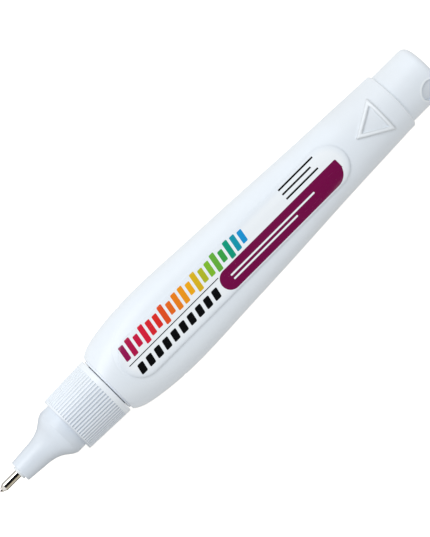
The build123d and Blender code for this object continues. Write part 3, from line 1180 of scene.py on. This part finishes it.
@dataclass
class ValveSpring:
    """The coil behind the pin, built at one length, though the real spring shortens as the pin is pressed in. Sizes in
    millimetres.
    """

    finish: MetalFinish = MetalFinish(
        "drawn_wire", paint(206, 208, 211), paint(178, 180, 184), roughness=0.24, ring_size=0.08, ring_height=0.0008
    )
    wire_radius: float = 0.17
    mean_radius: float = 1.3
    turns: int = 6
    travel: float = 0.35
    steps_per_turn: int = 40
    sides: int = 12

    def coil(self, front: float, rear: float) -> bpy.types.Object:
        """Sweeps the wire's section along the helix.

        Args:
            front: Front end of the wire's centre line.
            rear: Rear end of the wire's centre line.

        Returns:
            The coil as a closed mesh object.
        """
        pitch = (rear - front) / self.turns
        rings: List[List[Vector]] = []
        for step in range(self.turns * self.steps_per_turn + 1):
            angle = 2 * math.pi * step / self.steps_per_turn
            out = Vector((0, math.cos(angle), math.sin(angle)))
            round_axis = Vector((0, -math.sin(angle), math.cos(angle))) * 2 * math.pi * self.mean_radius
            forward = (Vector((pitch, 0, 0)) + round_axis).normalized()
            middle = Vector((front + pitch * step / self.steps_per_turn, 0, AXIS_HEIGHT)) + out * self.mean_radius
            ring = []
            for side in range(self.sides):
                turn = 2 * math.pi * side / self.sides
                off = out * math.cos(turn) + forward.cross(out) * math.sin(turn)
                ring.append(middle + off * self.wire_radius)
            rings.append(ring)
        return new_sweep("valve_coil", rings)

    def build(self) -> None:
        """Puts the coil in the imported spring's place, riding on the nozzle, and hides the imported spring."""
        low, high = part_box("valve_spring")
        coil = self.coil(low[0] / MM + self.wire_radius, high[0] / MM - self.wire_radius)
        dress(coil, self.finish.material())
        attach(coil, Body.NOZZLE.value)
        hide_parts("valve_spring")
        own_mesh(coil)


@dataclass(frozen=True)
class Card:
    """A studio card that only shiny surfaces see, flat or turned to the pen's axis. Metres."""

    name: str
    place: Point
    width: float
    length: float
    colour: Colour
    flat: bool = False


@dataclass
class Studio:
    """Floor, cards, lights and camera. Metres and degrees."""

    floor_size: float = 6.0
    floor_drop: float = 0.02 * MM
    floor_tint: Colour = (0.8, 0.775, 0.735, 1.0)
    floor_seen: float = 0.62
    floor_mirrored: float = 0.12
    sky_tint: Colour = (1.0, 1.0, 1.0, 1.0)
    sky: float = 0.65
    key_place: Point = (-0.5, 1.254, 1.34)
    key_size: float = 1.2
    key_power: float = 16.5
    aim: Point = (-0.0036, 0.0013, 0.0078)
    distance: float = 0.72
    tilt: float = 3.5
    lean: float = 3.8
    heading: float = 45.17
    lens: float = 224.4
    nearest: float = 0.01
    cards: Tuple[Card, ...] = (
        Card("dark_card", (-0.005, 0.01, 0.35), 0.58, 0.4, (0.004, 0.004, 0.005, 1.0)),
        Card("buff_card", (-0.066, -0.2, 0.11), 0.2, 0.2, (0.6, 0.55, 0.42, 1.0)),
        Card("olive_card", (-0.066, -0.032, 0.0004), 0.056, 0.03, (0.14, 0.13, 0.09, 1.0), flat=True),
        Card("grey_card", (-0.066, 0.0105, 0.0004), 0.011, 0.03, (0.06, 0.06, 0.065, 1.0), flat=True),
    )

    def glow(self, graph: Graph, seen: float, mirrored: float) -> Socket:
        """Gives more strength to the rays that show the background than to those that light the pen.

        Args:
            graph: The node tree of the floor or the world.
            seen: Strength for rays of the camera.
            mirrored: Strength for rays of reflections and through glass.

        Returns:
            The strength of each ray.
        """
        path = graph.add("ShaderNodeLightPath")
        bounced = graph.math("MAXIMUM", path.outputs["Is Glossy Ray"], path.outputs["Is Transmission Ray"])
        bounced = graph.times(bounced, mirrored)
        return graph.math("MULTIPLY_ADD", path.outputs["Is Camera Ray"], seen, bounced)

    def build_floor(self) -> None:
        """Lays the pale floor, just below the pen."""
        floor = new_sheet("floor", self.floor_size, self.floor_size)
        floor.location.z = -self.floor_drop
        material, graph, both = new_material("floor_paper", "ShaderNodeAddShader")
        paper = graph.add("ShaderNodeBsdfDiffuse")
        graph.feed(paper.inputs["Color"], self.floor_tint)
        glow = graph.add("ShaderNodeEmission")
        graph.feed(glow.inputs["Strength"], self.glow(graph, self.floor_seen, self.floor_mirrored))
        graph.feed(both.inputs[0], paper.outputs[0])
        graph.feed(both.inputs[1], glow.outputs[0])
        dress(floor, material)

    def build_cards(self) -> None:
        """Hangs the cards that put the streaks on the metal tip and keep the ink deep."""
        for card in self.cards:
            sheet = new_sheet(card.name, card.length, card.width)
            sheet.location = card.place
            if not card.flat:
                sheet.rotation_euler.x = math.atan2(-card.place[1], card.place[2] - AXIS_HEIGHT * MM)
            for ray in ("visible_camera", "visible_diffuse", "visible_shadow", "visible_transmission"):
                setattr(sheet, ray, False)
            material, graph, flat = new_material(card.name, "ShaderNodeEmission")
            graph.feed(flat.inputs["Color"], card.colour)
            dress(sheet, material)

    def build_light(self) -> None:
        """Sets the soft sky, and the key light on the side of the pen that is upper left in the picture."""
        world = bpy.data.worlds.new("sky")
        world.use_nodes = True
        graph = Graph(world.node_tree)
        sky = next(node for node in world.node_tree.nodes if node.type == "BACKGROUND")
        graph.feed(sky.inputs["Color"], self.sky_tint)
        shown = self.glow(graph, 1.0 - self.sky, 1.0 - self.sky)
        graph.feed(sky.inputs["Strength"], graph.math("ADD", shown, self.sky))
        bpy.context.scene.world = world
        lamp = bpy.data.lights.new("key", "AREA")
        lamp.energy = self.key_power
        lamp.size = self.key_size
        key = bpy.data.objects.new("key", lamp)
        key.location = self.key_place
        key.rotation_euler = (Vector(self.aim) - Vector(self.key_place)).to_track_quat("-Z", "Y").to_euler()
        bpy.context.scene.collection.objects.link(key)

    def build_camera(self) -> None:
        """Hangs the camera over the pen, with the pen on the picture's diagonal."""
        back = Vector((-math.tan(math.radians(self.tilt)), math.tan(math.radians(self.lean)), 1)).normalized()
        heading = math.radians(self.heading)
        right = Vector((math.cos(heading), math.sin(heading), 0)).cross(back).normalized()
        up = back.cross(right)
        turn = Matrix((right, up, back)).transposed().to_4x4()
        lens = bpy.data.cameras.new("camera")
        lens.lens = self.lens
        lens.clip_start = self.nearest
        camera = bpy.data.objects.new("camera", lens)
        camera.matrix_world = Matrix.Translation(Vector(self.aim) + back * self.distance) @ turn
        bpy.context.scene.collection.objects.link(camera)
        bpy.context.scene.camera = camera

    def build(self) -> None:
        """Builds the whole set."""
        self.build_floor()
        self.build_cards()
        self.build_light()
        self.build_camera()
        bpy.context.scene.view_settings.view_transform = "Standard"


def main() -> None:
    """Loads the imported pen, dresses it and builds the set."""
    logging.basicConfig(level=logging.INFO, format="%(name)s: %(message)s")
    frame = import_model()
    Bottle().build(frame["nodes"])
    ScrewCollar().build(frame["nodes"])
    NozzleHead().build(frame["nodes"])
    ValveSpring().build()
    Studio().build()
    bpy.context.view_layer.update()


if __name__ == "__main__":
    main()
